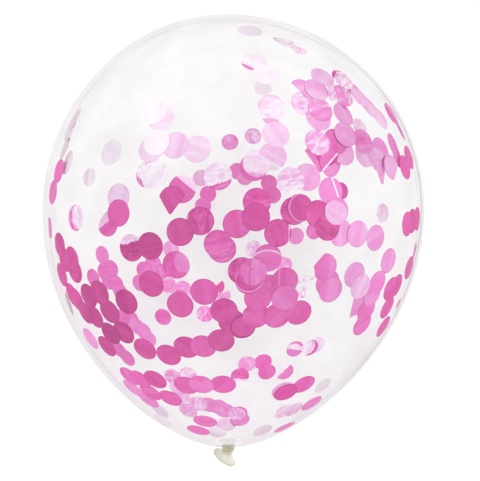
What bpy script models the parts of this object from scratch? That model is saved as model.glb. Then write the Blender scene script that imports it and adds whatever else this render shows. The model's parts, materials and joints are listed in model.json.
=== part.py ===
"""A clear round balloon, blown up and tied, lying on its side.

The film is one moulded piece: the blown envelope, the neck drawn in below it, the overhand knot
and the flared tail with its rolled lip. It is modelled upright with the knot down, and is then
laid on the point of its skin nearest to its centre of mass, where it comes to rest by itself.
The blown body is solid, because it is sealed.
"""

import math

import bmesh
import bpy
from mathutils import Matrix, Vector

# Blown envelope, with the knot down
WIDTH = 0.280
CROWN_RISE = 0.144
NECK_DROP = 0.1735
SHOULDER_RADIUS = 0.030
DIMPLE = 0.0075
NECK_RADIUS = 0.006
# How far down the straight side reaches before it turns in, as a share of the drop
SIDE_FULLNESS = 0.65
# Sideways bow of the body, and the height where the body stands out most
BOW = 0.0045
BOW_HEIGHT = 0.070

# Flat that the film makes where it lies on a table
FLAT_DEPTH = 0.0015

# Overhand knot in the neck
KNOT_LENGTH = 0.0095
CORE_RADIUS = 0.0031
WRAP_THICKNESS = 0.0038
WRAP_COUNT = 3
WRAP_TILT = math.radians(13)

# Flared tail below the knot, and the lip rolled at its mouth
THROAT_RADIUS = 0.0027
TAIL_SUNK = 0.0014
TAIL_LENGTH = 0.0056
TAIL_WALL = 0.0007
LIP_DIAMETER = 0.0195
LIP_BEAD = 0.0016
TAIL_SIDE_LEAN = math.radians(32)
TAIL_DROOP = math.radians(9)
# A trumpet's curve: 1 is a straight cone
FLARE = 1.25
PLEAT_COUNT = 6
PLEAT_SHARE = 0.09

# Facets
ENVELOPE_SIDES = 64
CROWN_ROWS = 18
LOWER_ROWS = 24
FINE_ROWS = 1000
KNOT_SIDES = 28
BEAD_SIDES = 10
TAIL_SIDES = 42
TAIL_ROWS = 7
SHARP_ANGLE = math.radians(50)
MERGE = 1e-7


def crown_curve(rows):
    """Half of an ellipse from the crown down to the equator, as radius and height."""
    turns = [math.pi / 2 * row / rows for row in range(rows + 1)]
    return [(WIDTH / 2 * math.sin(turn), CROWN_RISE * math.cos(turn)) for turn in turns]


def lower_curve(rows):
    """One Bezier curve from the equator to the neck, with a shallow dimple round the neck."""
    ends = [
        Vector((WIDTH / 2, 0)),
        Vector((WIDTH / 2, -SIDE_FULLNESS * NECK_DROP)),
        Vector((SHOULDER_RADIUS, -NECK_DROP - DIMPLE)),
        Vector((NECK_RADIUS, -NECK_DROP)),
    ]
    points = []
    for row in range(1, rows + 1):
        t = row / rows
        weights = [(1 - t) ** 3, 3 * t * (1 - t) ** 2, 3 * t**2 * (1 - t), t**3]
        point = sum((end * weight for end, weight in zip(ends, weights)), Vector((0, 0)))
        points.append((point.x, point.y))
    return points


def bow_at(height):
    """Sideways shift of the axis: it bends away from its bow above it and below it."""
    height = max(height, -NECK_DROP)
    reach = CROWN_RISE - BOW_HEIGHT if height > BOW_HEIGHT else NECK_DROP + BOW_HEIGHT
    return -BOW * ((height - BOW_HEIGHT) / reach) ** 2


def centre_of_mass():
    """Centre of the solid envelope, from its discs between one row and the next."""
    outline = crown_curve(CROWN_ROWS) + lower_curve(LOWER_ROWS)
    total, moment = 0.0, Vector((0, 0, 0))
    for (r1, z1), (r2, z2) in zip(outline, outline[1:]):
        volume = (r1**2 + r1 * r2 + r2**2) * (z1 - z2)
        height = (z1 + z2) / 2
        total += volume
        moment += volume * Vector((bow_at(height), 0, height))
    return moment / total


def turned(profile, sides, closed=False):
    """A bmesh turned round the Z axis from a list of radius and height."""
    bm = bmesh.new()
    verts = [bm.verts.new((radius, 0, height)) for radius, height in profile]
    pairs = list(zip(verts, verts[1:]))
    if closed:
        pairs.append((verts[-1], verts[0]))
    edges = [bm.edges.new(pair) for pair in pairs]
    bmesh.ops.spin(
        bm,
        geom=verts + edges,
        axis=(0, 0, 1),
        cent=(0, 0, 0),
        angle=2 * math.pi,
        steps=sides,
        use_merge=True,
    )
    bmesh.ops.remove_doubles(bm, verts=bm.verts, dist=MERGE)
    bmesh.ops.recalc_face_normals(bm, faces=bm.faces)
    return bm


def make_object(name, bm, matrix=Matrix()):
    """An object from a bmesh, shaded smooth, with the matrix worked into its mesh."""
    bm.transform(matrix)
    mesh = bpy.data.meshes.new(name)
    bm.to_mesh(mesh)
    bm.free()
    mesh.shade_smooth()
    mesh.set_sharp_from_angle(angle=SHARP_ANGLE)
    obj = bpy.data.objects.new(name, mesh)
    bpy.context.collection.objects.link(obj)
    return obj


def make_envelope(down, flat_centre):
    """The blown body with the twisted neck below it, bowed, and cut flat where it lies."""
    knot_end = -NECK_DROP - KNOT_LENGTH
    neck = [(CORE_RADIUS, -NECK_DROP), (CORE_RADIUS, knot_end), (0, knot_end - CORE_RADIUS / 2)]
    bm = turned(crown_curve(CROWN_ROWS) + lower_curve(LOWER_ROWS) + neck, ENVELOPE_SIDES)
    for vert in bm.verts:
        vert.co.x += bow_at(vert.co.z)
    cut = bmesh.ops.bisect_plane(
        bm,
        geom=bm.verts[:] + bm.edges[:] + bm.faces[:],
        plane_co=flat_centre,
        plane_no=down,
        clear_outer=True,
    )
    rim = [item for item in cut["geom_cut"] if isinstance(item, bmesh.types.BMEdge)]
    bmesh.ops.contextual_create(bm, geom=rim)
    bmesh.ops.recalc_face_normals(bm, faces=bm.faces)
    return make_object("balloon", bm)


def below_neck(depth):
    """A place on the neck's axis, at a depth below the blown body."""
    return Matrix.Translation((bow_at(-NECK_DROP), 0, -NECK_DROP - depth))


def make_wraps():
    """The turns of the neck round itself, each a ring tilted against the one above it."""
    tube = WRAP_THICKNESS / 2
    steps = [2 * math.pi * step / BEAD_SIDES for step in range(BEAD_SIDES)]
    circle = [(CORE_RADIUS + tube * math.cos(step), tube * math.sin(step)) for step in steps]
    wraps = []
    for turn in range(WRAP_COUNT):
        place = below_neck(KNOT_LENGTH * (turn + 0.5) / WRAP_COUNT)
        tilt = Matrix.Rotation(WRAP_TILT * (-1) ** turn, 4, "Y")
        wraps.append(make_object(f"wrap_{turn + 1}", turned(circle, KNOT_SIDES, True), place @ tilt))
    return wraps


def tail_profile():
    """Outline of the open tail: the outside, the rolled lip, and the inside back to the axis."""
    lip_radius = (LIP_DIAMETER - LIP_BEAD) / 2
    rise = lip_radius - THROAT_RADIUS
    outside, inside = [], []
    for row in range(TAIL_ROWS + 1):
        share = row / TAIL_ROWS
        middle = Vector((THROAT_RADIUS + rise * share**FLARE, TAIL_LENGTH * share))
        along = Vector((rise * FLARE * share ** (FLARE - 1), TAIL_LENGTH)).normalized()
        across = Vector((along.y, -along.x)) * TAIL_WALL / 2
        outside.append(middle + across)
        inside.append(middle - across)
    centre = Vector((lip_radius, TAIL_LENGTH))
    towards_knot = math.atan2(-TAIL_LENGTH, -rise * FLARE)
    gap = math.asin(TAIL_WALL / LIP_BEAD)
    sweep = 2 * math.pi - 2 * gap
    bead = []
    for step in range(1, BEAD_SIDES):
        turn = towards_knot + gap + sweep * step / BEAD_SIDES
        bead.append(centre + LIP_BEAD / 2 * Vector((math.cos(turn), math.sin(turn))))
    root = [(0, -THROAT_RADIUS), (THROAT_RADIUS, -THROAT_RADIUS)]
    floor = [(0, inside[1].y)]
    points = outside[:-1] + bead + inside[-2:0:-1]
    return root + [(point.x, point.y) for point in points] + floor


def make_tail():
    """The tail beyond the knot, pleated where the knot gathers it, leaning aside and drooping."""
    bm = turned(tail_profile(), TAIL_SIDES)
    for vert in bm.verts:
        spread = max(0.0, 1 - abs(vert.co.z) / TAIL_LENGTH)
        turn = math.atan2(vert.co.y, vert.co.x)
        pleat = 1 + PLEAT_SHARE * spread * math.cos(PLEAT_COUNT * turn)
        vert.co.x *= pleat
        vert.co.y *= pleat
    place = below_neck(KNOT_LENGTH - TAIL_SUNK)
    lean = Matrix.Rotation(TAIL_SIDE_LEAN, 4, "Y")
    droop = Matrix.Rotation(TAIL_DROOP, 4, "X")
    upside_down = Matrix.Rotation(math.pi, 4, "X")
    return make_object("tail", bm, place @ droop @ lean @ upside_down)


def join(body, pieces):
    """Unite the knot and the tail with the body, and keep them as hidden guides."""
    for piece in pieces:
        union = body.modifiers.new(f"join_{piece.name}", "BOOLEAN")
        union.operation = "UNION"
        union.solver = "EXACT"
        union.object = piece
        piece.parent = body
        piece.hide_render = True
        piece.display_type = "WIRE"


def latex():
    """Clear natural latex: nearly colourless where blown thin, and glossy."""
    material = bpy.data.materials.new("clear_latex")
    material.use_nodes = True
    shader = material.node_tree.nodes["Principled BSDF"]
    shader.inputs["Base Color"].default_value = (0.86, 0.83, 0.84, 1)
    shader.inputs["Roughness"].default_value = 0.12
    shader.inputs["Metallic"].default_value = 0.0
    shader.inputs["Alpha"].default_value = 0.3
    return material


def rest():
    """The direction that faces the table, and the middle of the flat that lies on it."""
    centre = centre_of_mass()
    outline = lower_curve(FINE_ROWS)
    radius, height = min(outline, key=lambda p: math.hypot(p[0], p[1] - centre.z))
    reach = Vector((0, radius, height - centre.z))
    foot = Vector((bow_at(height), 0, centre.z))
    return reach.normalized(), foot + reach - reach.normalized() * FLAT_DEPTH


def build():
    for obj in list(bpy.data.objects):
        bpy.data.objects.remove(obj)
    down, flat_centre = rest()
    balloon = make_envelope(down, flat_centre)
    join(balloon, make_wraps() + [make_tail()])
    balloon.data.materials.append(latex())
    turn = Matrix.Rotation(-math.atan2(down.y, -down.z), 4, "X")
    balloon.matrix_world = turn @ Matrix.Translation(-flat_centre)


build()
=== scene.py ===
import json
import math
import random

import bmesh
import bpy
from mathutils import Matrix, Vector, noise
from mathutils.bvhtree import BVHTree


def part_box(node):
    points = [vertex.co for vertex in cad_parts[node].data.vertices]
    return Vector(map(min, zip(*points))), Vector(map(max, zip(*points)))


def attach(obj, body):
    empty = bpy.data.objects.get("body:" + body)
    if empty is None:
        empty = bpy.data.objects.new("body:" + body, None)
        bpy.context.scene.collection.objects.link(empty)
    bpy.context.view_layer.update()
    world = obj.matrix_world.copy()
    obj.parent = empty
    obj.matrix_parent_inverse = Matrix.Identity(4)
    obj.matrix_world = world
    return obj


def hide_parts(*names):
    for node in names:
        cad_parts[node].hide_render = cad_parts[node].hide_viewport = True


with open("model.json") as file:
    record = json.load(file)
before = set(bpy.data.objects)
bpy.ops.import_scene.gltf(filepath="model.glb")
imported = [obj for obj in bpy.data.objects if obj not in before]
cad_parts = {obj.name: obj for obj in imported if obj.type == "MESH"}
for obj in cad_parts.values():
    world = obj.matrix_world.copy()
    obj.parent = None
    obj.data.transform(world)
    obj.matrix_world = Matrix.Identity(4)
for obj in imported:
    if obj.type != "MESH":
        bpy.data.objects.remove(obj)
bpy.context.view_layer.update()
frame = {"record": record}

# The balloon as it lies: on its side, knot low and crown raised, on the flat under its middle.
# Its own upright frame has the knot down, the equator at height zero and the camera at -Y, and
# is found from the mount at the neck.
NECK_DROP = 0.1735
CROWN_RISE = 0.144
BOW = 0.0045
BOW_HEIGHT = 0.070
neck_mount = next(m for m in frame["record"]["mounts"] if m["name"] == "neck_tie")
crown_way = -Vector(neck_mount["axis"]).normalized()
right_way = Vector((1, 0, 0))
back_way = crown_way.cross(right_way)


def bow_at(height):
    """Sideways shift of the axis: it bends away from its bow above it and below it."""
    height = max(height, -NECK_DROP)
    reach = CROWN_RISE - BOW_HEIGHT if height > BOW_HEIGHT else NECK_DROP + BOW_HEIGHT
    return -BOW * ((height - BOW_HEIGHT) / reach) ** 2


equator = Vector(neck_mount["pos_m"]) + crown_way * NECK_DROP - right_way * bow_at(-NECK_DROP)
lying = Matrix.Translation(equator) @ Matrix((right_way, back_way, crown_way)).transposed().to_4x4()

# The camera stands square to the balloon's axis and looks down on it, because the real balloon
# was photographed upright. A 50 mm lens about half a metre away gives the photo's perspective.
PHOTO_WIDTH = 480
PHOTO_HEIGHT = 481
LENS = 50.0
SENSOR = 36.0
CAMERA_DISTANCE = 0.509
CAMERA_ASIDE = 0.0043
CAMERA_BELOW_EQUATOR = 0.021

camera_data = bpy.data.cameras.new("camera")
camera_data.lens = LENS
camera_data.sensor_width = SENSOR
camera = bpy.data.objects.new("camera", camera_data)
bpy.context.collection.objects.link(camera)
camera_place = Matrix.Translation((CAMERA_ASIDE, -CAMERA_DISTANCE, -CAMERA_BELOW_EQUATOR))
camera.matrix_world = lying @ camera_place @ Matrix.Rotation(math.pi / 2, 4, "X")
bpy.context.scene.camera = camera


def sight_line(x, y):
    """The camera's place, and the way it looks through a point of the photo, in pixels."""
    focal = LENS / SENSOR * PHOTO_HEIGHT
    way = Vector((x - PHOTO_WIDTH / 2, PHOTO_HEIGHT / 2 - y, -focal))
    return camera.matrix_world.translation, (camera.matrix_world.to_3x3() @ way).normalized()


# The envelope: a film of natural latex, dipped on a former and blown until it is clear.
# It is one closed skin, drawn in at the neck, and lies on a small flat.
SHOULDER_RADIUS = 0.030
DIMPLE = 0.0075
NECK_RADIUS = 0.006
SIDE_FULLNESS = 0.65
FILM_SIDES = 240
CROWN_ROWS = 72
LOWER_ROWS = 96
MERGE_DISTANCE = 1e-7
low_corner, high_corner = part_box("balloon")
WIDTH = high_corner[0] - low_corner[0]
CLEAR_COLOUR = "#9C969A"
MILKY_COLOUR = "#FBFEFA"
FILM_SLANT_TINT = "#EFEAEE"
FILM_ROUGHNESS = 0.22
# How far from the neck the film is milky all through, and from where on it is clear. Past this
# share of milkiness it has the whole milky colour and starts to hide what is behind it.
MILKY_NEAR = 0.0055
MILKY_FAR = 0.0115
MILKY_SHOWS = 0.3
# How much the clear film hides where it is seen square on, at the slants between, and edge on
SQUARE_ON_COVER = 0.15
SLANT_COVER = {0.5: 0.16, 0.72: 0.22, 0.84: 0.28, 0.93: 0.34}
EDGE_ON_COVER = 0.45
# Clouds where the film stretched unevenly: their size, and how much more or less they hide
CLOUD_SIZE = 0.028
CLOUD_CHANGE = 0.2
# Painted reflections, drawn as more cover: fine lines inside the outline, each at a slant of its own
# and with a width. The inner one comes and goes along the outline, and the outer one shows on the
# right only, from the middle outward.
INNER_LINE = (0.76, 0.02)
INNER_LINE_COVER = 0.12
INNER_LINE_BREAKS = 0.06
INNER_LINE_SHOWS = (0.48, 0.62)
OUTER_LINE = (0.83, 0.03)
OUTER_LINE_COVER = 0.3
OUTER_LINE_SHOWS = (0.05, 0.11)
# A noise texture seldom leaves this span
NOISE_SPAN = (0.3, 0.7)


def envelope_outline():
    """Radius and height from the crown, round an ellipse and down a Bezier curve to the neck."""
    points = []
    for row in range(CROWN_ROWS + 1):
        turn = math.pi / 2 * row / CROWN_ROWS
        points.append((WIDTH / 2 * math.sin(turn), CROWN_RISE * math.cos(turn)))
    ends = [
        Vector((WIDTH / 2, 0)),
        Vector((WIDTH / 2, -SIDE_FULLNESS * NECK_DROP)),
        Vector((SHOULDER_RADIUS, -NECK_DROP - DIMPLE)),
        Vector((NECK_RADIUS, -NECK_DROP)),
    ]
    for row in range(1, LOWER_ROWS + 1):
        t = row / LOWER_ROWS
        weights = [(1 - t) ** 3, 3 * t * (1 - t) ** 2, 3 * t**2 * (1 - t), t**3]
        point = sum((end * weight for end, weight in zip(ends, weights)), Vector((0, 0)))
        points.append((point.x, point.y))
    return points


def turned(outline, sides):
    """A bmesh turned round the Z axis from a list of radius and height."""
    bm = bmesh.new()
    verts = [bm.verts.new((radius, 0, height)) for radius, height in outline]
    edges = [bm.edges.new(pair) for pair in zip(verts, verts[1:])]
    bmesh.ops.spin(
        bm,
        geom=verts + edges,
        axis=(0, 0, 1),
        cent=(0, 0, 0),
        angle=2 * math.pi,
        steps=sides,
        use_merge=True,
    )
    bmesh.ops.remove_doubles(bm, verts=bm.verts, dist=MERGE_DISTANCE)
    bmesh.ops.recalc_face_normals(bm, faces=bm.faces)
    return bm


def add_piece(name, bm, finishes):
    """A smooth piece of the balloon, made from a bmesh that is already where it lies."""
    mesh = bpy.data.meshes.new(name)
    bm.to_mesh(mesh)
    bm.free()
    mesh.shade_smooth()
    for finish in finishes:
        mesh.materials.append(finish)
    piece = bpy.data.objects.new(name, mesh)
    bpy.context.collection.objects.link(piece)
    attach(piece, "root")
    return piece


def rgb(hex_colour):
    """Linear red, green, blue and alpha from an sRGB hex colour."""
    channels = [int(hex_colour[i : i + 2], 16) / 255 for i in (1, 3, 5)]
    linear = [c / 12.92 if c <= 0.04045 else ((c + 0.055) / 1.055) ** 2.4 for c in channels]
    return (*linear, 1.0)


def add(tree, kind, *values, out=0, **named):
    """An output of a new node. Its inputs are filled in their order, or by a name that starts with
    a capital, with a number or a link to another node's output. Other names are its settings."""
    node = tree.nodes.new(kind)
    inputs = dict(enumerate(values))
    for name, value in named.items():
        if name.islower():
            setattr(node, name, value)
        else:
            inputs[name] = value
    for key, value in inputs.items():
        if isinstance(value, bpy.types.NodeSocket):
            tree.links.new(value, node.inputs[key])
        else:
            node.inputs[key].default_value = value
    return node.outputs[out]


def material(name):
    """A new material with its tree and its plain Principled shader."""
    made = bpy.data.materials.new(name)
    made.use_nodes = True
    return made, made.node_tree, made.node_tree.nodes["Principled BSDF"]


def blown_latex():
    """Clear blown latex: it lets the background through and mirrors the soft light a little. It
    shows more where it is seen edge on, so the outline is a thin grey line. Fainter lines inside
    it are painted reflections, and it turns milky where it is drawn in to the neck."""
    film, tree, shader = material("blown_latex")
    milky = add(tree, "ShaderNodeAttribute", attribute_name="milky", out="Fac")
    where = add(tree, "ShaderNodeTexCoord", out="Object")
    tint = add(tree, "ShaderNodeMapRange", milky, 0.0, MILKY_SHOWS, 0.0, 1.0)
    clear, pale = rgb(CLEAR_COLOUR), rgb(MILKY_COLOUR)
    colour = add(tree, "ShaderNodeMix", data_type="RGBA", Factor=tint, A=clear, B=pale, out="Result")
    tree.links.new(colour, shader.inputs["Base Color"])
    # The clear skin shows as a faint grey mirror, and the milky latex as a plain gloss
    mirror = add(tree, "ShaderNodeMapRange", milky, 0.0, MILKY_SHOWS, 1.0, 0.0)
    tree.links.new(mirror, shader.inputs["Metallic"])
    shader.inputs["Specular Tint"].default_value = rgb(FILM_SLANT_TINT)
    shader.inputs["Roughness"].default_value = FILM_ROUGHNESS

    slant = add(tree, "ShaderNodeLayerWeight", out="Facing")
    cover = add(tree, "ShaderNodeValToRGB", slant)
    stops = cover.node.color_ramp.elements
    stops[0].color = (SQUARE_ON_COVER, SQUARE_ON_COVER, SQUARE_ON_COVER, 1)
    stops[1].color = (EDGE_ON_COVER, EDGE_ON_COVER, EDGE_ON_COVER, 1)
    for place, level in SLANT_COVER.items():
        stops.new(place).color = (level, level, level, 1)
    cloud = add(tree, "ShaderNodeTexNoise", Vector=where, Scale=1 / CLOUD_SIZE, Detail=3.0)
    cloud = add(tree, "ShaderNodeMapRange", cloud, *NOISE_SPAN, 1 - CLOUD_CHANGE, 1 + CLOUD_CHANGE)
    cover = add(tree, "ShaderNodeMath", cover, cloud, operation="MULTIPLY")

    # Painted reflections: two thin bands of more cover at set slants, the inner one broken by noise and the
    # outer one only on the right side
    inner = add(tree, "ShaderNodeTexNoise", Vector=where, Scale=1 / INNER_LINE_BREAKS, Detail=1.0)
    inner = add(tree, "ShaderNodeMapRange", inner, *INNER_LINE_SHOWS, 0.0, INNER_LINE_COVER)
    outer = add(tree, "ShaderNodeSeparateXYZ", where, out="X")
    outer = add(tree, "ShaderNodeMapRange", outer, *OUTER_LINE_SHOWS, 0.0, OUTER_LINE_COVER)
    for (at, width), strength in ((INNER_LINE, inner), (OUTER_LINE, outer)):
        away = add(tree, "ShaderNodeMath", slant, at, operation="SUBTRACT")
        away = add(tree, "ShaderNodeMath", away, operation="ABSOLUTE")
        line = add(tree, "ShaderNodeMapRange", away, 0.0, width, strength, 0.0)
        cover = add(tree, "ShaderNodeMath", cover, line, operation="ADD")
    cover = add(tree, "ShaderNodeMapRange", milky, MILKY_SHOWS, 1.0, cover, 1.0)
    tree.links.new(cover, shader.inputs["Alpha"])
    return film


film_bm = turned(envelope_outline() + [(0, -NECK_DROP)], FILM_SIDES)
milky = film_bm.verts.layers.float.new("milky")
for vert in film_bm.verts:
    from_neck = (vert.co - Vector((0, 0, -NECK_DROP))).length
    share = min(1.0, max(0.0, (MILKY_FAR - from_neck) / (MILKY_FAR - MILKY_NEAR)))
    # It fades without a ring at either end
    vert[milky] = share * share * (3 - 2 * share)
    vert.co.x += bow_at(vert.co.z)
film_bm.transform(lying)
# The flat, where the film is pressed against the table
for vert in film_bm.verts:
    vert.co.z = max(vert.co.z, 0.0)
film_bm.normal_update()
wall = BVHTree.FromBMesh(film_bm)
envelope = add_piece("envelope", film_bm, [blown_latex()])
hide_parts("balloon")

# The knot: the neck passed round itself and drawn tight. The latex is thick again there, so it
# is milky and olive, and its turns are wrinkled along the way that they were pulled.
KNOT_LENGTH = 0.0095
CORE_RADIUS = 0.0031
WRAP_THICKNESS = 0.0038
WRAP_COUNT = 3
WRAP_TILT = math.radians(13)
WRAP_STEPS = 40
ROPE_SIDES = 32
# The neck's direction is read over this share of a turn, ahead and behind
LOOK_AHEAD = 0.01
# Each end of the wound neck lies level for half a turn. It dives in over this share of a turn, to
# this share of the core's radius.
LEVEL_TURN = 0.5
DIVE_TURN = 0.3
DIVE_REACH = 0.4
# Wrinkles along the neck, which wind round it as it turns
WRINKLE_COUNT = 8
WRINKLE_DEPTH = 0.11
WRINKLE_TWIST = 3 * math.pi
PRESSED_FLAT = 0.0002
# How thick the latex is, from 0 to 1, with a thicker side that winds round the neck
WRAP_LATEX = 0.75
WRAP_LATEX_CHANGE = 0.25
THIN_COLOUR = "#EFF0E4"
MIDDLE_COLOUR = "#DEDFC9"
THICK_COLOUR = "#C8C4A2"
THICK_COVER = 0.8
THICK_ROUGHNESS = 0.35
# Uneven thickness in patches, and the grain of the skin, which is finer on the real one and is
# drawn as coarse as it needs to show
PATCH_SIZE = 0.0022
PATCH_CHANGE = 0.2
GRAIN_SIZE = 0.0009
GRAIN_HEIGHT = 0.0002
GRAIN_STRENGTH = 0.3


def thick_latex():
    """Natural latex that was not stretched: milky, yellow to olive where it is thickest, with a
    soft gloss."""
    latex, tree, shader = material("thick_latex")
    thickness = add(tree, "ShaderNodeAttribute", attribute_name="thickness", out="Fac")
    where = add(tree, "ShaderNodeTexCoord", out="Object")
    patch = add(tree, "ShaderNodeTexNoise", Vector=where, Scale=1 / PATCH_SIZE, Detail=2.0)
    patch = add(tree, "ShaderNodeMapRange", patch, *NOISE_SPAN, -PATCH_CHANGE, PATCH_CHANGE)
    level = add(tree, "ShaderNodeMath", thickness, patch, operation="ADD")
    colour = add(tree, "ShaderNodeValToRGB", level)
    stops = colour.node.color_ramp.elements
    stops[0].color, stops[1].color = rgb(THIN_COLOUR), rgb(THICK_COLOUR)
    stops.new(0.5).color = rgb(MIDDLE_COLOUR)
    tree.links.new(colour, shader.inputs["Base Color"])
    shader.inputs["Roughness"].default_value = THICK_ROUGHNESS
    shader.inputs["Alpha"].default_value = THICK_COVER
    grain = add(tree, "ShaderNodeTexNoise", Vector=where, Scale=1 / GRAIN_SIZE, Detail=3.0)
    bump = add(tree, "ShaderNodeBump", Height=grain, Strength=GRAIN_STRENGTH, Distance=GRAIN_HEIGHT)
    tree.links.new(bump, shader.inputs["Normal"])
    return latex


def knot_path(turn):
    """The middle of the neck as it goes round its own core: the turns cross at a slant."""
    angle = 2 * math.pi * turn
    risen = min(1.0, turn / DIVE_TURN, (WRAP_COUNT - turn) / DIVE_TURN)
    reach = CORE_RADIUS * (DIVE_REACH + (1 - DIVE_REACH) * risen)
    depth = KNOT_LENGTH * min(max(turn, LEVEL_TURN), WRAP_COUNT - LEVEL_TURN) / WRAP_COUNT
    slant = CORE_RADIUS * math.tan(WRAP_TILT) * math.cos(angle) * math.cos(math.pi * turn)
    place = (bow_at(-NECK_DROP) + reach * math.cos(angle), reach * math.sin(angle))
    return Vector((*place, -NECK_DROP - depth + slant))


def knot_mesh():
    """The turns of the neck, swept along their path and closed at both ends."""
    bm = bmesh.new()
    thickness = bm.verts.layers.float.new("thickness")
    rings = []
    for step in range(WRAP_COUNT * WRAP_STEPS + 1):
        turn = step / WRAP_STEPS
        middle = knot_path(turn)
        along = (knot_path(turn + LOOK_AHEAD) - knot_path(turn - LOOK_AHEAD)).normalized()
        outward = Vector((math.cos(2 * math.pi * turn), math.sin(2 * math.pi * turn), 0))
        across = along.cross(outward).normalized()
        ring = []
        for side in range(ROPE_SIDES):
            angle = 2 * math.pi * side / ROPE_SIDES
            wrinkle = math.cos(WRINKLE_COUNT * angle + WRINKLE_TWIST * turn)
            radius = WRAP_THICKNESS / 2 * (1 - WRINKLE_DEPTH + WRINKLE_DEPTH * wrinkle)
            spoke = outward * math.cos(angle) + across * math.sin(angle)
            place = middle + spoke * radius
            place.z = min(place.z, -NECK_DROP - PRESSED_FLAT)
            vert = bm.verts.new(place)
            vert[thickness] = WRAP_LATEX + WRAP_LATEX_CHANGE * math.cos(math.pi * turn + angle)
            ring.append(vert)
        rings.append(ring)
    for ring, after in zip(rings, rings[1:]):
        for side in range(ROPE_SIDES):
            other = (side + 1) % ROPE_SIDES
            bm.faces.new([ring[side], ring[other], after[other], after[side]])
    bm.faces.new(rings[0][::-1])
    bm.faces.new(rings[-1])
    bmesh.ops.recalc_face_normals(bm, faces=bm.faces)
    return bm


latex = thick_latex()
knot_bm = knot_mesh()
knot_bm.transform(lying)
add_piece("knot", knot_bm, [latex])

# The tail: the mouth of the balloon beyond the knot, which flares to its lip. The lip was rolled
# on the former, so it is a thick round bead. Pleats run out from the knot.
THROAT_RADIUS = 0.0027
TAIL_SUNK = 0.0014
TAIL_LENGTH = 0.0056
TAIL_WALL = 0.0007
LIP_DIAMETER = 0.0195
LIP_BEAD = 0.0016
TAIL_SIDE_LEAN = math.radians(32)
TAIL_DROOP = math.radians(9)
# A trumpet's curve, where 1 is a straight cone. Its slope at the throat is taken a hair past it.
FLARE = 1.25
PAST_THROAT = 0.001
# Pleats that fade out towards the lip, and finer ones between them
PLEAT_COUNT = 6
PLEAT_SHARE = 0.09
FINE_PLEAT_COUNT = 13
FINE_PLEAT_SHARE = 0.5
FINE_PLEAT_TURN = 1
TAIL_ROWS = 20
TAIL_SIDES = 144
BEAD_SIDES = 16
# How thick the latex is: more towards the throat and the lip, on the pleats and in the lip itself
ENDS_LATEX = 0.25
PLEAT_LATEX = 0.14
PLEAT_FADE = 0.5
LIP_LATEX = 0.55
LIP_START = 0.9


def tail_outline():
    """Radius and height of the outside, the rolled lip, and the inside back to the axis."""
    lip_radius = (LIP_DIAMETER - LIP_BEAD) / 2
    rise = lip_radius - THROAT_RADIUS
    outside, inside = [], []
    for row in range(TAIL_ROWS + 1):
        share = row / TAIL_ROWS
        middle = Vector((THROAT_RADIUS + rise * share**FLARE, TAIL_LENGTH * share))
        slope = rise * FLARE * max(share, PAST_THROAT) ** (FLARE - 1)
        along = Vector((slope, TAIL_LENGTH)).normalized()
        across = Vector((along.y, -along.x)) * TAIL_WALL / 2
        outside.append(middle + across)
        inside.append(middle - across)
    centre = Vector((lip_radius, TAIL_LENGTH))
    towards_knot = math.atan2(-TAIL_LENGTH, -rise * FLARE)
    gap = math.asin(TAIL_WALL / LIP_BEAD)
    bead = []
    for step in range(1, BEAD_SIDES):
        turn = towards_knot + gap + (2 * math.pi - 2 * gap) * step / BEAD_SIDES
        bead.append(centre + LIP_BEAD / 2 * Vector((math.cos(turn), math.sin(turn))))
    root = [(0, -THROAT_RADIUS), (THROAT_RADIUS, -THROAT_RADIUS)]
    points = outside[:-1] + bead + inside[-2:0:-1]
    return root + [(point.x, point.y) for point in points] + [(0, inside[1].y)]


tail_bm = turned(tail_outline(), TAIL_SIDES)
thickness = tail_bm.verts.layers.float.new("thickness")
for vert in tail_bm.verts:
    share = min(1.0, abs(vert.co.z) / TAIL_LENGTH)
    angle = math.atan2(vert.co.y, vert.co.x)
    fine_pleat = FINE_PLEAT_SHARE * math.cos(FINE_PLEAT_COUNT * angle + FINE_PLEAT_TURN)
    pleat = math.cos(PLEAT_COUNT * angle) + fine_pleat
    stretch = 1 + PLEAT_SHARE * (1 - share) * pleat
    vert.co.x *= stretch
    vert.co.y *= stretch
    ends_latex = ENDS_LATEX * (2 * share - 1) ** 2
    pleat_latex = PLEAT_LATEX * pleat * (1 - PLEAT_FADE * share)
    lip_latex = LIP_LATEX if share > LIP_START else 0.0
    vert[thickness] = ends_latex + pleat_latex + lip_latex
tail_place = Matrix.Translation((bow_at(-NECK_DROP), 0, -NECK_DROP - KNOT_LENGTH + TAIL_SUNK))
droop = Matrix.Rotation(TAIL_DROOP, 4, "X")
lean = Matrix.Rotation(TAIL_SIDE_LEAN, 4, "Y")
upside_down = Matrix.Rotation(math.pi, 4, "X")
tail_bm.transform(lying @ tail_place @ droop @ lean @ upside_down)
add_piece("tail", tail_bm, [latex])

# Confetti: discs punched from metallised plastic film, lacquered rose pink, loose in the balloon
# and held to the inside of its wall by static. They lie in drifts, and some are creased, folded
# over or crumpled.
DISC_DIAMETER = 0.016
DISC_THICKNESS = 0.00006
DISC_CELLS = 12
# The gap between the wall and the first disc on it, and the step from one disc to the next over it
STAND_OFF = 0.0004
SHINGLE = 0.00008
CRUMPLE_DEPTH = 0.00015
CRUMPLE_GRAIN = 0.0032
# A tucked edge is folded back all the way, and a fold past the sharp angle shows as an edge
TUCK = math.radians(176)
SHARP_FOLD = math.radians(25)
# How far past the film a line of sight is taken up again to find the next film
PAST_FILM = 0.002
# Sizes on the film, from one ridge or patch to the next
MOTTLE_SIZE = 0.0028
CRINKLE_SIZE = 0.004
CRINKLE_HEIGHT = 0.0004
CRINKLE_STRENGTH = 0.3
FOIL_ROUGHNESS = (0.28, 0.38)
# A crumpled disc's creases waver by this share of its radius, in waves of this size
WAVER_SIZE = 0.0015
WAVER = 0.35
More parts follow.
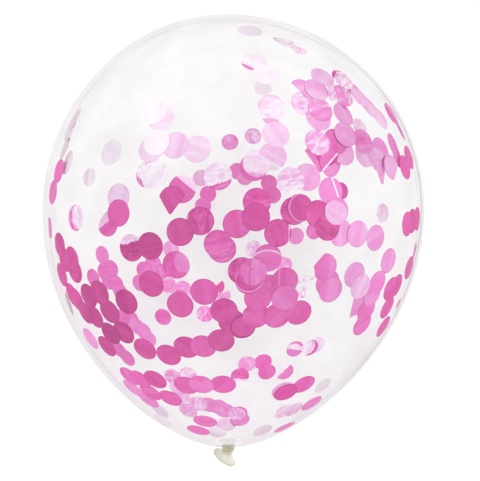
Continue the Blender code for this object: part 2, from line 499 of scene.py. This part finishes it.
# Its painted streaks of highlight and shade are about 3 mm wide and 8 mm long. The pace counts
# them over the radius of 8 mm, and the stretch packs them closer across than along.
STREAK_PACE = 1.3
STREAK_STRETCH = (2.2, 0.8, 1.0)
STREAK_BEND = 0.8
# The noise below this span gives the streaks' painted shade, and above it their painted highlight
STREAK_SPAN = (0.38, 0.66)
# How far each of these takes a disc's tone down and up. The sheen and the streaks are painted
# highlight and shade, and the mottle and the spread are tone that differs at random.
SHEEN_CHANGE = 0.035
MOTTLE_CHANGE = 0.025
STREAK_CHANGE = (-0.16, 0.3)
TONE_SPREAD = 0.01
# Each disc has a start of its own along the noise, from 0 to here
NOISE_RUN = 100
# In shares of the radius: how soft the painted change of tone at a crease is, the core and the edge
# of the painted highlight line along it, and where the darker ring at the edge, punched edge and
# painted shade, starts and is darkest
CREASE_BLUR = 0.03
CREASE_LINE = (0.02, 0.09)
PUNCHED_EDGE_AND_SHADE_RIM = (0.9, 0.99)
# The rim darkens the deepest tone most, and a tone of this level not at all
RIM_SHADE = 0.5
RIM_GONE = 0.8
# The colour of the darker ring: the punched edge's own colour with painted shade along it
PUNCHED_EDGE_AND_SHADE_COLOUR = "#A83282"
# The colour that the film turns to where it is seen at a slant, on the pink discs and on the discs
# whose painted reflection is so pale that no pink shows
LACQUER_SLANT_TINT = "#F9C2E4"
PALE_REFLECTION_SLANT_TINT = "#DFCBD6"
# Painted reflection: each tone is the lacquer's pink with as much of the soft light as a disc
# mirrors where it lies, from the least to the most. The last few tones, nearly white to grey, are
# painted glare and grey reflection that leave no pink.
TONES = [step / 11 for step in range(12)]
DARK, DEEP, RICH, ROSE, PINK, CANDY, LIGHT, PALE, WASHED, MISTY, FAINT, SILVER = TONES
LACQUER_AND_REFLECTION = {
    DARK: "#BB3386",
    DEEP: "#CC4095",
    RICH: "#E052A8",
    ROSE: "#EA64B8",
    PINK: "#F07ECB",
    CANDY: "#F290D6",
    LIGHT: "#F2A4DE",
    PALE: "#F5CCEE",
    WASHED: "#FBE4F9",
    MISTY: "#FFF7FF",
    FAINT: "#FFFDFF",
    SILVER: "#D9CDD4",
}
# Past this tone the painted reflection shows no pink, and the disc takes the greyer film
PALE_REFLECTION_FROM = WASHED + 0.04


def metallised_film(name, slant_tint):
    """Vacuum-metallised plastic film under pink lacquer, a satin metal, and the same film with a
    greyer slant colour for the discs whose painted reflection is palest. Each disc's tone is painted
    reflection, for how much of the soft light it mirrors with its tilt. On it are a painted sheen
    across the disc, a painted change of tone and a bright painted highlight line along its creases,
    and a darker ring at the edge, partly the punched edge's colour and partly painted shade. A
    crumpled disc has painted streaks of highlight and shade, and its creases waver. The lacquer is
    deeper where it is seen at a slant."""
    foil, tree, shader = material(name)
    tone = add(tree, "ShaderNodeAttribute", attribute_name="tone", out="Fac")
    crumple = add(tree, "ShaderNodeAttribute", attribute_name="crumple", out="Fac")
    where = add(tree, "ShaderNodeTexCoord", out="Object")
    spot = add(tree, "ShaderNodeAttribute", attribute_name="spot", out="Vector")
    across, along, start = add(tree, "ShaderNodeSeparateXYZ", spot).node.outputs
    crease = add(tree, "ShaderNodeAttribute", attribute_name="crease", out="Vector")
    past, change, line = add(tree, "ShaderNodeSeparateXYZ", crease).node.outputs

    # Painted sheen: lighter and darker bands of tone across each disc, along a noise of its own
    sheen = add(tree, "ShaderNodeMath", across, start, operation="ADD")
    sheen = add(tree, "ShaderNodeTexNoise", noise_dimensions="1D", W=sheen, Scale=1.0, Detail=2.0)
    sheen = add(tree, "ShaderNodeMapRange", sheen, *NOISE_SPAN, -SHEEN_CHANGE, SHEEN_CHANGE)
    mottle = add(tree, "ShaderNodeTexNoise", Vector=where, Scale=1 / MOTTLE_SIZE, Detail=3.0)
    mottle = add(tree, "ShaderNodeMapRange", mottle, *NOISE_SPAN, -MOTTLE_CHANGE, MOTTLE_CHANGE)
    # Painted highlight and shade on a crumpled disc, in streaks as strong as it is crumpled
    streak = add(tree, "ShaderNodeVectorMath", spot, STREAK_STRETCH, operation="MULTIPLY")
    streak = add(
        tree,
        "ShaderNodeTexNoise",
        Vector=streak,
        Scale=STREAK_PACE,
        Detail=2.0,
        Distortion=STREAK_BEND,
    )
    streak = add(tree, "ShaderNodeMapRange", streak, *STREAK_SPAN, *STREAK_CHANGE)
    streak = add(tree, "ShaderNodeMath", streak, crumple, operation="MULTIPLY")
    waver = add(tree, "ShaderNodeTexNoise", Vector=where, Scale=1 / WAVER_SIZE, Detail=2.0)
    waver = add(tree, "ShaderNodeMapRange", waver, *NOISE_SPAN, -WAVER, WAVER)
    waver = add(tree, "ShaderNodeMath", waver, crumple, operation="MULTIPLY")
    # Painted reflection at a crease or an arc: past it the tone changes, and along it runs a painted
    # highlight line
    past = add(tree, "ShaderNodeMath", past, waver, operation="ADD")
    change = add(tree, "ShaderNodeMapRange", past, -CREASE_BLUR, CREASE_BLUR, 0.0, change)
    away = add(tree, "ShaderNodeMath", past, operation="ABSOLUTE")
    line = add(tree, "ShaderNodeMapRange", away, *CREASE_LINE, line, 0.0)
    level = tone
    for shift in (sheen, mottle, streak, change, line):
        level = add(tree, "ShaderNodeMath", level, shift, operation="ADD")

    # The tone and its shifts pick the colour: the lacquer's pink with its painted reflection
    lacquer = add(tree, "ShaderNodeValToRGB", level)
    stops = lacquer.node.color_ramp.elements
    stops[0].color, stops[1].color = rgb(LACQUER_AND_REFLECTION[DARK]), rgb(LACQUER_AND_REFLECTION[SILVER])
    for place in TONES[1:-1]:
        stops.new(place).color = rgb(LACQUER_AND_REFLECTION[place])
    # A darker ring at each disc's edge: partly the punched edge's own colour, partly painted shade along
    # the edge
    reach = add(tree, "ShaderNodeCombineXYZ", across, along)
    reach = add(tree, "ShaderNodeVectorMath", reach, operation="LENGTH", out="Value")
    rim = add(tree, "ShaderNodeMapRange", reach, *PUNCHED_EDGE_AND_SHADE_RIM, 0.0, 1.0)
    shade = add(tree, "ShaderNodeMapRange", level, 0.0, RIM_GONE, RIM_SHADE, 0.0)
    rim = add(tree, "ShaderNodeMath", rim, shade, operation="MULTIPLY")
    edge = rgb(PUNCHED_EDGE_AND_SHADE_COLOUR)
    colour = add(tree, "ShaderNodeMix", data_type="RGBA", Factor=rim, A=lacquer, B=edge, out="Result")
    tree.links.new(colour, shader.inputs["Base Color"])
    shader.inputs["Metallic"].default_value = 1.0
    shader.inputs["Specular Tint"].default_value = rgb(slant_tint)

    crinkle = add(tree, "ShaderNodeTexNoise", Vector=where, Scale=1 / CRINKLE_SIZE, Detail=3.0)
    bump = add(tree, "ShaderNodeBump", Height=crinkle, Strength=CRINKLE_STRENGTH, Distance=CRINKLE_HEIGHT)
    tree.links.new(bump, shader.inputs["Normal"])
    roughness = add(tree, "ShaderNodeMapRange", crinkle, *NOISE_SPAN, *FOIL_ROUGHNESS)
    tree.links.new(roughness, shader.inputs["Roughness"])
    return foil


def wall_point(x, y, far):
    """Where the line of sight meets the film the first time, or the last, and the way outward."""
    start, way = sight_line(x, y)
    hit, normal, _, _ = wall.ray_cast(start, way)
    while far and hit:
        beyond, next_normal, _, _ = wall.ray_cast(hit + way * PAST_FILM, way)
        if beyond is None:
            break
        hit, normal = beyond, next_normal
    return hit, normal


def shingle_levels(discs):
    """How far in from the wall each disc lies. A disc lies further in than the ones before it that
    it overlaps, past the room that a crumpled one takes, and close under the ones after it."""
    levels = []
    for number, (place, _) in enumerate(discs):
        before = zip(discs[:number], levels)
        past = [level + other[1] for other, level in before if (other[0] - place).length < DISC_DIAMETER]
        levels.append(max(past, default=0))
    for number in reversed(range(len(discs))):
        place, room = discs[number]
        after = zip(discs[number + 1 :], levels[number + 1 :])
        under = [level for other, level in after if (other[0] - place).length < DISC_DIAMETER]
        if under:
            levels[number] = min(under) - room
    return levels


def punched_disc(creases):
    """A flat disc of film, with edges cut along its creases so that they fold sharply. It is a
    square grid whose sides are rounded to a circle."""
    disc = bmesh.new()
    bmesh.ops.create_grid(disc, x_segments=DISC_CELLS, y_segments=DISC_CELLS, size=1)
    for vert in disc.verts:
        x, y, _ = vert.co
        vert.co.x = DISC_DIAMETER / 2 * x * math.sqrt(1 - y * y / 2)
        vert.co.y = DISC_DIAMETER / 2 * y * math.sqrt(1 - x * x / 2)
    for turn, at, _ in creases:
        way = Vector((math.cos(turn), math.sin(turn), 0))
        everything = disc.verts[:] + disc.edges[:] + disc.faces[:]
        bmesh.ops.bisect_plane(disc, geom=everything, plane_co=way * at, plane_no=way)
    disc.normal_update()
    bmesh.ops.solidify(disc, geom=disc.faces[:], thickness=DISC_THICKNESS)
    return disc


def bent(point, turn, at, fold):
    """Where a point of a disc goes when the part past a crease is folded up."""
    aligned = Matrix.Rotation(-turn, 3, "Z") @ point
    if aligned.x > at:
        past = Matrix.Rotation(-fold, 3, "Y") @ Vector((aligned.x - at, 0, aligned.z))
        aligned = Vector((at + past.x, aligned.y, past.z))
    return Matrix.Rotation(turn, 3, "Z") @ aligned


def lay_disc(bm, scratch, spot, level, tone, style, rng):
    """One disc against the wall: it follows the wall's curve, lies clear of the discs that it
    overlaps, and may be creased, tucked behind, crumpled or stand on its edge."""
    centre, outward = spot
    radius = DISC_DIAMETER / 2
    # A turn is drawn for every disc, so that one with a turn of its own leaves the rest as they are
    turn = math.radians(style.get("turn", rng.uniform(0, 360)))
    lean = math.radians(style.get("lean", 0))
    at = style.get("at", 0)
    arc = style.get("arc", 0)
    change = style.get("change", 0)
    line = style.get("line", 0)
    crumple = style.get("crumple", 0)
    start = rng.uniform(0, NOISE_RUN)
    creases = [(math.radians(way), reach * radius, TUCK) for way, reach in style.get("tucks", ())]
    if "fold" in style:
        creases.append((turn, at * radius, math.radians(style["fold"])))

    # A disc that stands off the wall still has its middle on the line of sight
    lift = STAND_OFF + SHINGLE * level + abs(math.sin(lean)) * radius
    sight = (centre - camera.matrix_world.translation).normalized()
    centre, outward, _, _ = wall.find_nearest(centre + (outward - sight * outward.dot(sight)) * lift)
    upward = (crown_way - outward * crown_way.dot(outward)).normalized()
    facing = Matrix((upward.cross(outward), upward, outward)).transposed()
    spin = Matrix.Rotation(turn, 3, "Z")
    stance = spin @ Matrix.Rotation(lean, 3, "Y") @ spin.transposed()

    disc = punched_disc(creases)
    tone_layer = disc.verts.layers.float.new("tone")
    crumple_layer = disc.verts.layers.float.new("crumple")
    spot_layer = disc.verts.layers.float_vector.new("spot")
    crease_layer = disc.verts.layers.float_vector.new("crease")
    for vert in disc.verts:
        x, y, _ = spin.transposed() @ vert.co / radius
        past = arc - math.hypot(x - at - arc, y) if arc else x - at
        # The tone and the change past a crease carry the disc's painted reflection to the shader
        vert[tone_layer] = tone
        vert[crumple_layer] = crumple
        vert[spot_layer] = (x, y, start)
        vert[crease_layer] = (past, change, line)
        point = vert.co.copy()
        ripple = noise.noise(point / CRUMPLE_GRAIN + Vector((start, 0, 0)))
        point.z += CRUMPLE_DEPTH * crumple * (1 + ripple)
        for crease in creases:
            point = bent(point, *crease)
        # No fold cuts back through the flat part
        point.z = max(point.z, vert.co.z)
        point = stance @ point
        beside = centre + facing @ Vector((point.x, point.y, 0))
        on_wall, normal, _, _ = wall.find_nearest(beside)
        vert.co = on_wall - normal * lift - outward * point.z
    for face in disc.faces:
        # A disc whose painted reflection shows no pink takes the greyer film
        face.material_index = 1 if tone > PALE_REFLECTION_FROM else 0
    disc.to_mesh(scratch)
    disc.free()
    bm.from_mesh(scratch)


def drift(tone, *places, **style):
    """Discs of one tone, which is painted reflection, at places of the photo, in pixels, and how they
    are bent: where a crease or an arc runs, how the painted reflection changes past it, and which
    edges are tucked behind."""
    return tone, places, style


def lay_drifts(groups, far, foils, seed):
    """Pieces of confetti drifts on the near or the far side of the wall. A disc takes the first of
    the foils, or the second where its painted reflection is palest."""
    rng = random.Random(seed)
    discs = []
    for name, drifts in groups.items():
        for tone, places, style in drifts.values():
            for x, y in places:
                spot = wall_point(x, y, far)
                if spot[0]:
                    discs.append((name, spot, tone + rng.gauss(0, TONE_SPREAD), style))
    rooms = [1 + math.ceil(style.get("crumple", 0) * CRUMPLE_DEPTH / SHINGLE) for *_, style in discs]
    levels = shingle_levels([(disc[1][0], room) for disc, room in zip(discs, rooms)])
    scratch = bpy.data.meshes.new("scratch")
    for group in groups:
        bm = bmesh.new()
        for (name, spot, tone, style), level in zip(discs, levels):
            if name == group:
                lay_disc(bm, scratch, spot, level, tone, style, rng)
        bmesh.ops.recalc_face_normals(bm, faces=bm.faces)
        piece = add_piece(group, bm, foils)
        piece.data.set_sharp_from_angle(angle=SHARP_FOLD)
    bpy.data.meshes.remove(scratch)


# The drifts as they show from the front. On the near wall a disc covers the ones after it, and on
# the far wall the ones before it.
# Each drift's tone is painted reflection: paler where a disc catches more of the soft light, palest under
# the glare towards the crown, deeper where it mirrors less. The changes past its creases and arcs are
# painted reflection too.
UPPER_DRIFTS = {
    "crown_veil": drift(MISTY, (266, 74), (250, 30)),
    "crown_crumpled": drift(MISTY, (283, 40), crumple=0.6, tucks=((200, 0.5), (80, 0.3))),
    "crown_crumpled_end": drift(WASHED, (296, 46), crumple=0.6, tucks=((60, 0.2), (200, 0.5))),
    "crown_sliver": drift(MISTY, (254, 61), turn=238, at=0.68, change=-0.42),
    "crown_chain": drift(PALE, (272, 106), turn=-70, arc=1, at=-0.7, change=0.06, crumple=0.25),
    "crown_edge_on": drift(PALE, (273, 120), turn=90, lean=-45, tucks=((0, 0.6), (180, 0.6))),
    "crown_middle": drift(PALE, (276, 134)),
    "crown_creased": drift(PALE, (273, 156), turn=-118, at=0.5, fold=25, change=0.04, line=0.3),
    "crown_foot": drift(WASHED, (257, 163), turn=-90, at=0.7, change=-0.1, crumple=0.2),
    "crown_shadow": drift(ROSE, (254, 167)),
    "knee": drift(PALE, (291, 181), turn=-80, at=0.62, change=0.2, crumple=0.4),
    "knee_right": drift(LIGHT, (308, 177)),
    "left_veil": drift(MISTY, (156, 142), (154, 112)),
    "left_pair": drift(PALE + 0.02, (175, 145), (197, 149)),
    "left_washed": drift(MISTY - 0.02, (111, 152)),
    "left_washed_low": drift(PALE + 0.05, (151, 149)),
    "left_veil_behind": drift(WASHED, (161, 118)),
    "left_torn": drift(WASHED, (218, 176), turn=-75, at=0.5, change=-0.4, crumple=0.4),
    "left_ring": drift(MISTY, (155, 174), crumple=0.3),
    "left_ring_behind": drift(WASHED, (148, 174), turn=215, at=0.75, change=-0.4, crumple=0.6),
    "right_scrap": drift(PALE, (331, 90), crumple=0.6, tucks=((0, 0.4), (180, 0.4), (90, 0.5))),
    "right_top": drift(LIGHT + 0.03, (317, 89)),
    "right_top_leaf": drift(LIGHT, (303, 89), tucks=((215, 0.3),)),
    "right_top_behind": drift(LIGHT + 0.05, (323, 77)),
    "right_torn": drift(WASHED, (343, 79), turn=135, at=0.6, change=-0.65, crumple=0.6),
    "right_dull": drift(CANDY + 0.05, (343, 95), turn=0, at=0.3, change=0.1, crumple=0.4),
    "right_glints": drift(CANDY - 0.03, (321, 109), turn=110, at=0.1, change=0.1, line=0.1, crumple=0.3),
    "right_behind": drift(LIGHT + 0.03, (319, 118)),
    "right_washed": drift(PALE, (304, 103), crumple=0.3),
    "right_slope": drift(LIGHT, (345, 113), turn=10, at=0.0, fold=15, change=0.05),
    "right_elbow": drift(LIGHT, (346, 134)),
    "right_crumple": drift(LIGHT + 0.05, (318, 142), turn=-40, crumple=0.45),
    "right_line": drift(PINK - 0.02, (332, 163), turn=-46, at=-0.14, fold=20, change=0.1, line=0.5),
    "right_band": drift(ROSE, (336, 141)),
    "right_band_low": drift(RICH, (327, 152)),
    "right_side": drift(LIGHT, (344, 152), tucks=((140, 0.4),)),
    "right_wedge": drift(PINK, (316, 159), tucks=((-146, 0.34),)),
    "right_shoulder": drift(PALE, (361, 96), (371, 106), turn=45, lean=-4, crumple=0.15),
    "right_shoulder_pale": drift(WASHED, (382, 117), turn=40, lean=-4, crumple=0.15),
    "right_shoulder_end": drift(CANDY, (356, 89), turn=45, lean=-6),
    "right_shoulder_rim": drift(ROSE, (392, 113), turn=28, at=0.1, change=0.35, crumple=0.3),
    "right_thread": drift(ROSE, (402, 128), turn=20, lean=-7),
    "right_fan_top": drift(PINK, (364, 141), turn=-80, at=0.3, change=0.12, crumple=0.35),
    "right_fan": drift(LIGHT + 0.04, (366, 154), turn=20, crumple=0.15),
    "right_fan_leaf": drift(LIGHT, (392, 167), turn=0, arc=0.9, at=-0.85, change=0.03, tucks=((-35, 0.7),)),
    "right_fan_point": drift(LIGHT + 0.03, (381, 171), tucks=((-18, 0.6), (-157, 0.35))),
    "right_fan_middle": drift(LIGHT + 0.04, (379, 159)),
    "right_fan_back": drift(CANDY + 0.03, (382, 149)),
    "right_edge": drift(CANDY + 0.02, (395, 144), (399, 155), turn=10, lean=-8),
    "right_edge_rim": drift(ROSE, (406, 167), (410, 157)),
    "left_rim": drift(PINK - 0.03, (58, 171), (52, 192)),
    "left_rim_sliver": drift(PINK, (48, 228), turn=0, lean=6, tucks=((90, 0.85), (-90, 0.85))),
    "left_rim_silver": drift(FAINT + 0.02, (66, 162), turn=150, lean=-6),
    "left_rim_mauve": drift(MISTY, (69, 129), (73, 118), turn=150, lean=-4, crumple=0.3),
    "left_rim_faint": drift(FAINT, (63, 147), turn=150, lean=-6),
}
MIDDLE_DRIFTS = {
    "right_cap": drift(CANDY, (337, 211), turn=-110, arc=1.1, at=-0.72, change=0.14),
    "right_pair": drift(CANDY, (331, 191), turn=20, at=0.45, change=-0.03, line=0.45),
    "right_knot": drift(RICH - 0.04, (328, 227), turn=60, crumple=0.2),
    "right_knot_behind": drift(RICH, (318, 214)),
    "right_row": drift(LIGHT, (358, 234), (341, 233), (376, 238)),
    "right_rim": drift(ROSE, (408, 224)),
    "right_rim_inner": drift(RICH, (413, 221)),
    "right_rim_edge": drift(RICH, (418, 219)),
    "right_rim_low": drift(ROSE - 0.03, (410, 268), turn=-20, lean=1),
    "right_rim_thread": drift(ROSE, (417, 251), turn=-15, lean=-6, tucks=((75, 0.6), (-105, 0.6))),
    "right_rim_bit": drift(ROSE, (400, 305), turn=-25, lean=-6, tucks=((65, 0.4), (-115, 0.4))),
    "right_leaf": drift(CANDY, (389, 261), turn=0, arc=0.9, at=-0.85, change=0.08),
    "pair_tucked": drift(PINK, (325, 267), turn=0, at=0.4, change=0.05, tucks=((140, 0.75), (196, 0.87))),
    "pair_low": drift(CANDY - 0.02, (331, 290), turn=0, arc=1, at=-0.6, change=0.02),
    "pair_behind": drift(PINK, (328, 283)),
    "right_pale": drift(PALE - 0.03, (361, 287)),
    "right_pale_behind": drift(LIGHT, (355, 275)),
    "right_fall": drift(CANDY, (378, 283), (373, 295)),
    "right_fall_low": drift(PINK - 0.01, (367, 311), (363, 325)),
    "right_fall_leaf": drift(CANDY, (358, 307), tucks=((-175, 0.6), (-75, 0.75))),
    "right_dark_fall": drift(ROSE, (391, 289)),
    "right_dark_fall_low": drift(RICH, (397, 286)),
    "right_dark_fall_end": drift(ROSE - 0.03, (388, 308), (384, 327)),
    "glint": drift(PINK, (75, 218), turn=20, arc=0.95, at=-0.5, change=0.36, crumple=0.5),
    "left_hook": drift(ROSE, (118, 213)),
    "left_streaky": drift(PALE + 0.03, (118, 197), turn=0, crumple=0.15),
    "left_hook_folded": drift(ROSE, (107, 223), turn=119, at=0.05, fold=25, change=0.33),
    "heart": drift(RICH, (172, 200), turn=35, at=0.6, line=0.08, tucks=((-38, 0.56), (-150, 0.7))),
    "heart_behind": drift(ROSE, (182, 189), turn=51, at=0.43, fold=20, change=0.38),
    "twin": drift(RICH, (180, 232)),
    "twin_behind": drift(RICH, (200, 221), turn=170, at=0.85, change=0.4, crumple=0.4),
    "dark_pair": drift(DEEP, (150, 246)),
    "dark_pair_torn": drift(DEEP, (131, 248), turn=100, at=0.4, change=0.6, crumple=0.4),
    "alone": drift(ROSE + 0.02, (218, 244), (222, 249), turn=110, crumple=0.25),
    "step": drift(RICH, (256, 217)),
    "step_top": drift(ROSE, (257, 202), turn=-80, at=0.35, change=-0.04, line=0.12, crumple=0.3),
    "step_left": drift(ROSE, (237, 224), turn=10, at=0.15, change=0.05),
    "dark_ring": drift(DEEP, (300, 208), turn=10, arc=1.0, at=-0.8, change=0.06, line=0.35),
    "dark_ring_behind": drift(RICH, (294, 211), crumple=0.3),
    "dark_low": drift(RICH, (278, 233), turn=0, at=0.82, line=0.4, crumple=0.2),
    "left_edge": drift(RICH - 0.02, (59, 245), (64, 260), (61, 275)),
    "left_edge_inner": drift(RICH, (71, 259), (74, 271)),
}
LOWER_DRIFTS = {
    "heap_bowl": drift(ROSE, (253, 272), turn=0, at=-0.12, change=0.14, crumple=0.3),
    "heap_top": drift(ROSE, (268, 258), turn=-90, arc=1.6, at=-0.55, change=0.04, line=0.35),
    "heap_front": drift(PINK, (285, 298)),
    "heap_crumpled": drift(ROSE - 0.05, (242, 271), turn=0, crumple=0.5),
    "heap_crescent": drift(ROSE - 0.04, (249, 281), turn=90, arc=1.1, at=-0.8, change=-0.03, line=0.35),
    "heap_right": drift(ROSE, (285, 281), turn=180, at=0.45, change=-0.03, line=0.2),
    "heap_low": drift(ROSE, (258, 298), (268, 288)),
    "garland_end": drift(ROSE, (299, 313), turn=150, at=0.7, line=0.08),
    "garland_right": drift(ROSE, (277, 316), (256, 316)),
    "garland_ring": drift(RICH, (242, 327), turn=0, arc=0.9, at=-0.8, line=-0.2),
    "garland_top": drift(RICH, (224, 311), (232, 322)),
    "garland": drift(RICH, (221, 341)),
    "garland_bright": drift(ROSE, (203, 347)),
    "garland_left": drift(RICH, (186, 348), (168, 356)),
    "strays": drift(ROSE, (180, 305), (204, 292)),
    "stray_dark": drift(RICH, (151, 284)),
    "stray_swirl": drift(ROSE, (176, 265), turn=20, arc=0.8, at=-0.1, change=0.16, crumple=0.25),
    "left_heap": drift(DEEP, (99, 293), (88, 296), (109, 312), (85, 313), (94, 317)),
    "left_leaves": drift(RICH, (76, 300), (71, 295)),
    "left_leaf_silver": drift(SILVER, (67, 305), turn=160, lean=-8),
    "left_alone": drift(DEEP, (126, 302)),
    "left_dark": drift(DARK, (110, 334), turn=30, at=0.5, line=0.06),
    "left_dark_behind": drift(DEEP, (123, 333), (106, 347)),
    "left_pale": drift(CANDY + 0.03, (90, 339), turn=0, arc=0.9, at=-0.8, change=0.08),
    "lead": drift(RICH, (144, 350)),
    "bottom_row_bright": drift(PINK, (201, 385), turn=80, crumple=0.25),
    "bottom_row": drift(ROSE, (223, 385)),
    "bottom_row_left": drift(ROSE, (186, 386)),
    "bottom_left_dark": drift(RICH, (155, 380)),
    "bottom_left": drift(ROSE, (140, 380)),
    "bottom_left_bright": drift(ROSE + 0.04, (129, 377), (150, 393)),
    "bottom_left_end": drift(ROSE + 0.02, (170, 399)),
    "bottom_left_rim": drift(CANDY, (148, 401)),
    "bottom_left_haze": drift(LIGHT, (132, 389)),
    "bottom_rim_silver": drift(FAINT, (162, 423), turn=45, lean=-9),
    "bottom_pair": drift(PINK, (205, 422), (198, 431)),
    "bottom_right_dark": drift(RICH - 0.05, (286, 393)),
    "bottom_right": drift(ROSE, (304, 385)),
    "bottom_right_behind": drift(LIGHT, (284, 391)),
    "bottom_right_rim": drift(CANDY, (312, 404), (285, 428)),
}
FAR_DRIFTS = {
    "top_pair": drift(CANDY, (230, 142), crumple=0.35),
    "top_pair_dull": drift(LIGHT + 0.04, (253, 136), crumple=0.4),
    "top_faint": drift(FAINT, (263, 88)),
    "dark_steps": drift(CANDY, (237, 171)),
    "dark_steps_low": drift(LIGHT, (245, 177)),
    "dark_steps_right": drift(PINK, (269, 183), (273, 195)),
    "left_steps": drift(PALE, (201, 178)),
    "left_steps_low": drift(PINK + 0.02, (208, 194), (203, 206)),
    "left_alone": drift(CANDY, (102, 255)),
    "left_heap": drift(PINK, (93, 278), (104, 272), (111, 269), (108, 281), (116, 284), (120, 292)),
    "left_slope": drift(PINK - 0.03, (122, 318), (131, 319)),
    "left_slope_low": drift(CANDY, (136, 326), (143, 331), (148, 339)),
    "left_foot": drift(PINK, (119, 350), (127, 358)),
    "middle_top": drift(LIGHT, (171, 249)),
    "middle_left": drift(PINK, (153, 263), (163, 272), turn=90, crumple=0.4),
    "middle_left_edge": drift(PINK, (144, 270), (140, 283)),
    "middle_striped": drift(CANDY, (168, 285), (183, 289), turn=60, crumple=0.55),
    "middle_swirl": drift(CANDY, (205, 314), turn=30, crumple=0.6),
    "middle_striped_top": drift(PALE, (254, 249), turn=10, crumple=0.45),
    "middle_rose": drift(ROSE + 0.03, (163, 317), (180, 298)),
    "middle_bits": drift(LIGHT, (284, 265), turn=120, crumple=0.45),
    "middle_sliver": drift(LIGHT, (222, 295), tucks=((60, 0.1), (-90, 0.4))),
    "middle_leaf": drift(WASHED, (306, 279), turn=70, crumple=0.8, tucks=((75, 0.25), (-110, 0.3))),
    "middle_scrap": drift(PALE, (302, 290), turn=20, crumple=0.9, tucks=((60, 0.1), (180, 0.5))),
    "stray_wedge": drift(RICH, (216, 286), tucks=((-20, 0.0), (50, 0.0))),
    "right_rose": drift(CANDY, (296, 236)),
    "right_rose_dark": drift(PINK, (314, 231)),
    "right_pair_end": drift(RICH, (341, 191), turn=30, crumple=0.15),
    "low_trail": drift(ROSE, (263, 362), (267, 372)),
    "low_trail_dull": drift(CANDY + 0.02, (247, 364), crumple=0.3),
    "low_trail_end": drift(ROSE - 0.05, (240, 376), turn=270, at=0.4, change=0.5, crumple=0.3),
    "low_stray": drift(PINK, (285, 372), turn=25, at=0.2, change=0.45, crumple=0.3),
    "low_striped": drift(PINK, (295, 349)),
    "low_stripe": drift(WASHED, (295, 348), tucks=((90, 0.25), (-90, 0.25))),
    "low_ghost": drift(WASHED, (317, 345)),
    "low_washed": drift(ROSE, (310, 348), turn=0, arc=1.0, at=-0.6, change=0.42, crumple=0.3),
    "bottom_crumpled": drift(LIGHT, (173, 377), turn=100, crumple=0.5),
    "bottom_crumpled_pale": drift(PALE, (188, 375), turn=80, crumple=0.4),
    "bottom_haze_low": drift(PALE + 0.05, (226, 425)),
    "bottom_trail": drift(CANDY, (208, 405), (218, 407), (225, 411), crumple=0.3),
    "bottom_trail_low": drift(CANDY, (240, 420)),
    "bottom_trail_end": drift(PINK, (238, 414), turn=-45, arc=1.0, at=-0.75, change=0.22, crumple=0.3),
    "bottom_haze": drift(LIGHT + 0.05, (198, 404), (181, 396), (188, 411), (178, 388), crumple=0.3),
    "bottom_haze_grey": drift(FAINT, (216, 433)),
    "bottom_left": drift(MISTY, (160, 411)),
    "bottom_right": drift(WASHED, (284, 412), (294, 410), crumple=0.3),
    "silver_faint": drift(FAINT, (89, 177), (323, 386), (263, 431)),
    "silver": drift(WASHED, (383, 213), (360, 127), crumple=0.3),
}
NEAR_SEED = 11
FAR_SEED = 14
foils = [
    metallised_film("pink_lacquered_film", LACQUER_SLANT_TINT),
    # The greyer film, for the discs painted with the palest reflection
    metallised_film("pale_reflection_film", PALE_REFLECTION_SLANT_TINT),
]
near_groups = {
    "confetti_upper": UPPER_DRIFTS,
    "confetti_middle": MIDDLE_DRIFTS,
    "confetti_lower": LOWER_DRIFTS,
}
lay_drifts(near_groups, far=False, foils=foils, seed=NEAR_SEED)
lay_drifts({"confetti_far_wall": FAR_DRIFTS}, far=True, foils=foils, seed=FAR_SEED)

# Floor and light: a matt white acrylic floor lit a little from within, a wide soft light on the
# crown's side, a smaller one on the right, and an even pale room. The floor gives an even pale
# ground with no shine.
FLOOR_SIZE = 12.0
FLOOR_BELOW = 0.0005
FLOOR_COLOUR = "#C4C4C4"
FLOOR_ROUGHNESS = 0.9
FLOOR_GLOW = 0.58
LIGHT_DISTANCE = 1.6
LIGHT_BRIGHTNESS = 0.25
ROOM_LIGHT = 1.1
WHITE = "#FFFFFF"
floor_bm = bmesh.new()
bmesh.ops.create_grid(floor_bm, x_segments=1, y_segments=1, size=FLOOR_SIZE / 2)
floor_mesh = bpy.data.meshes.new("floor")
floor_bm.to_mesh(floor_mesh)
floor_bm.free()
floor = bpy.data.objects.new("floor", floor_mesh)
floor.location.z = -FLOOR_BELOW
bpy.context.collection.objects.link(floor)
acrylic, _, acrylic_shader = material("white_acrylic")
acrylic_shader.inputs["Base Color"].default_value = rgb(FLOOR_COLOUR)
acrylic_shader.inputs["Roughness"].default_value = FLOOR_ROUGHNESS
acrylic_shader.inputs["Specular IOR Level"].default_value = 0.0
acrylic_shader.inputs["Emission Color"].default_value = rgb(WHITE)
acrylic_shader.inputs["Emission Strength"].default_value = FLOOR_GLOW
floor_mesh.materials.append(acrylic)


def add_softbox(name, towards, size):
    """A soft rectangular light that faces the balloon's middle, from a way in its own frame."""
    data = bpy.data.lights.new(name, "AREA")
    data.shape = "RECTANGLE"
    data.size, data.size_y = size
    data.energy = LIGHT_BRIGHTNESS * math.pi * size[0] * size[1]
    light = bpy.data.objects.new(name, data)
    place = lying @ (Vector(towards).normalized() * LIGHT_DISTANCE)
    aim = equator - place
    light.matrix_world = Matrix.Translation(place) @ aim.to_track_quat("-Z", "Y").to_matrix().to_4x4()
    bpy.context.collection.objects.link(light)


add_softbox("crown_light", towards=(0, -0.5, 0.87), size=(3.4, 1.9))
add_softbox("right_light", towards=(0.85, -0.55, 0), size=(1.0, 1.4))
world = bpy.data.worlds.new("room")
bpy.context.scene.world = world
world.use_nodes = True
background = world.node_tree.nodes["Background"]
background.inputs["Color"].default_value = rgb(WHITE)
background.inputs["Strength"].default_value = ROOM_LIGHT
bpy.context.scene.view_settings.view_transform = "Standard"
